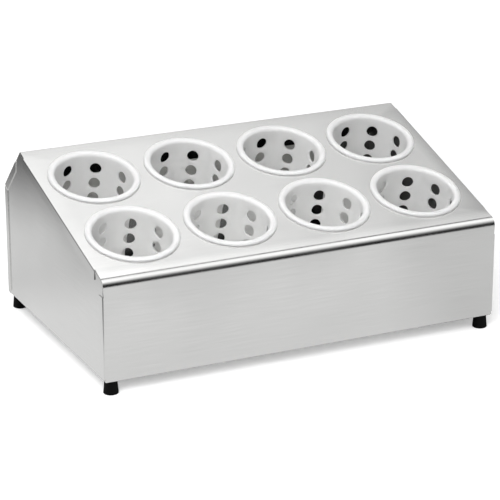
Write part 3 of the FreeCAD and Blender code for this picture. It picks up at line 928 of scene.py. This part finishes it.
def table_as_seen(tree, place):
    """The table for the camera: white, with the object's shadow on it."""
    diffuse = add(tree, "ShaderNodeBsdfDiffuse", {"Color": linear(TABLE_WHITE)})
    distance = add(tree, "ShaderNodeVectorMath", {0: place}, operation="LENGTH").outputs["Value"]
    strength = add(
        tree,
        "ShaderNodeMapRange",
        {"Value": distance, "From Min": GLOW_NEAR, "From Max": GLOW_FAR, "To Min": TABLE_GLOW, "To Max": 1.0},
    )
    glow = add(tree, "ShaderNodeEmission", {"Color": linear(WHITE), "Strength": strength.outputs["Result"]})
    both = add(tree, "ShaderNodeAddShader", {0: diffuse.outputs["BSDF"], 1: glow.outputs["Emission"]})
    return both.outputs["Shader"]


def pool_of_light(tree, place):
    """The table for polished surfaces: a bright pool near the object, dark where the lamps no longer reach
    it, and shaded under the object."""
    parts = add(tree, "ShaderNodeSeparateXYZ", {"Vector": place}).outputs
    ahead = combined(tree, combined(tree, parts["Y"], FRONT_Y, "SUBTRACT"), 0.0, "MINIMUM")
    slant = {0: ahead, 1: POOL_SLANT, 2: parts["X"]}
    slanted = add(tree, "ShaderNodeMath", slant, operation="MULTIPLY_ADD").outputs["Value"]
    across = ramp_over_metres(tree, slanted, POOL_ACROSS)
    along = ramp_over_metres(tree, parts["Y"], POOL_ALONG)
    pool = blended(tree, 1.0, across, along, "MULTIPLY")
    inside = []
    for axis, low, high in (("X", -HALF_WIDTH, HALF_WIDTH + SHADE_PAST_RIGHT), ("Y", FRONT_Y, BACK_Y)):
        middle = (low + high) / 2
        offset = combined(tree, parts[axis], middle, "SUBTRACT")
        away = add(tree, "ShaderNodeMath", {0: offset}, operation="ABSOLUTE").outputs["Value"]
        inside.append(combined(tree, away, high - middle, "LESS_THAN"))
    under = combined(tree, *inside, "MULTIPLY")
    back = faded(tree, parts["Y"], *SHADE_BACK_FADE)
    far_right = faded(tree, parts["X"], *SHADE_RIGHT_FADE)
    darker = combined(tree, back, far_right, "MAXIMUM")
    shade = ramp(tree, darker, [(0.0, SHADE_FRONT), (1.0, SHADE_BACK)])
    colour = blended(tree, under, pool, shade)
    return add(tree, "ShaderNodeEmission", {"Color": colour, "Strength": POOL_STRENGTH}).outputs["Emission"]


def studio_floor():
    """A white table top, plain white to the camera, which keeps the object's shadow."""
    bm = bmesh.new()
    bmesh.ops.create_circle(bm, cap_ends=True, segments=64, radius=TABLE_R)
    mesh = bpy.data.meshes.new("table_top")
    bm.to_mesh(mesh)
    bm.free()
    material, tree = new_material("white_table")
    place = add(tree, "ShaderNodeTexCoord").outputs["Object"]
    seen = table_as_seen(tree, place)
    mirrored = pool_of_light(tree, place)
    bounce = add(tree, "ShaderNodeBsdfDiffuse", {"Color": linear(TABLE_BOUNCE)}).outputs["BSDF"]
    from_camera, polished = kinds_of_ray(tree)
    unseen = switched(tree, polished, bounce, mirrored)
    add(tree, "ShaderNodeOutputMaterial", {"Surface": switched(tree, from_camera, unseen, seen)})
    mesh.materials.append(material)
    floor = bpy.data.objects.new("table_top", mesh)
    bpy.context.scene.collection.objects.link(floor)


def studio_colour(tree):
    """What polished surfaces see: dark near the horizon, a bright canopy overhead in front, and a white
    ceiling behind that falls off to the right."""
    way = add(tree, "ShaderNodeTexCoord").outputs["Generated"]
    parts = add(tree, "ShaderNodeSeparateXYZ", {"Vector": way}).outputs
    canopy = ramp(tree, parts["Z"], CANOPY)
    ceiling = ramp(tree, parts["Z"], CEILING)
    ceiling = blended(tree, 1.0, ceiling, ramp(tree, parts["X"], CEILING_ACROSS), "MULTIPLY")
    behind = faded(tree, parts["Y"], *CEILING_FADE)
    overhead = blended(tree, behind, canopy, ceiling)
    overhead = blended(tree, 1.0, overhead, ramp(tree, parts["Y"], CANOPY_GAP), "MULTIPLY")
    sideways = add(tree, "ShaderNodeMath", {0: parts["X"]}, operation="ABSOLUTE").outputs["Value"]
    beside = faded(tree, sideways, *BESIDE_FADE)
    return blended(tree, beside, overhead, ramp(tree, parts["Z"], HORIZON_BESIDE))


def backdrop(tree, colour, strength):
    """A shader for the world."""
    return add(tree, "ShaderNodeBackground", {"Color": colour, "Strength": strength}).outputs["Background"]


def studio_world():
    """White to the camera, a studio to polished surfaces and a soft even light to all else."""
    world = bpy.data.worlds.new("studio")
    bpy.context.scene.world = world
    world.use_nodes = True
    tree = world.node_tree
    tree.nodes.clear()
    studio = backdrop(tree, studio_colour(tree), STUDIO_STRENGTH)
    soft = backdrop(tree, linear(WHITE), SKY_LIGHT)
    plain = backdrop(tree, linear(WHITE), 1.0)
    from_camera, polished = kinds_of_ray(tree)
    unseen = switched(tree, polished, soft, studio)
    add(tree, "ShaderNodeOutputWorld", {"Surface": switched(tree, from_camera, unseen, plain)})


def softbox(name, place, aim, size, power):
    """A square soft light pointing at aim."""
    light = bpy.data.lights.new(name, "AREA")
    light.shape = "SQUARE"
    light.size = size
    light.energy = power
    lamp = bpy.data.objects.new(name, light)
    lamp.visible_glossy = False  # polished surfaces see the studio that the world and the table give them
    lamp.location = place
    lamp.rotation_euler = (Vector(aim) - Vector(place)).to_track_quat("-Z", "Y").to_euler()
    bpy.context.scene.collection.objects.link(lamp)


EYE = (-1162.7 * MM, -2480.8 * MM, 1068.7 * MM)
EYE_TILT = math.radians(19.672)  # down from level
EYE_TURN = math.radians(25.183)  # to the right of straight back
FOCAL_LENGTH = 166.6  # on a sensor 36 mm wide


def camera():
    """Long lens, a little left of the front and above the deck."""
    lens = bpy.data.cameras.new("camera")
    lens.sensor_width = 36.0
    lens.lens = FOCAL_LENGTH
    lens.clip_start = 0.05
    lens.clip_end = 60.0
    eye = bpy.data.objects.new("camera", lens)
    eye.location = EYE
    eye.rotation_euler = (math.pi / 2 - EYE_TILT, 0, -EYE_TURN)
    bpy.context.scene.collection.objects.link(eye)
    bpy.context.scene.camera = eye


studio_floor()
studio_world()
softbox("ceiling", place=(-0.3, -0.3, 1.9), aim=(0, 0, 0.1), size=2.2, power=15.0)
softbox("front_left", place=(-1.05, -1.45, 1.3), aim=(0, 0, 0.15), size=1.2, power=38.0)
camera()
bpy.context.scene.view_settings.view_transform = "Standard"
bpy.context.scene.cycles.max_bounces = 24  # light is passed on many times between the white walls
bpy.context.scene.cycles.diffuse_bounces = 16
bpy.context.scene.cycles.glossy_bounces = 12
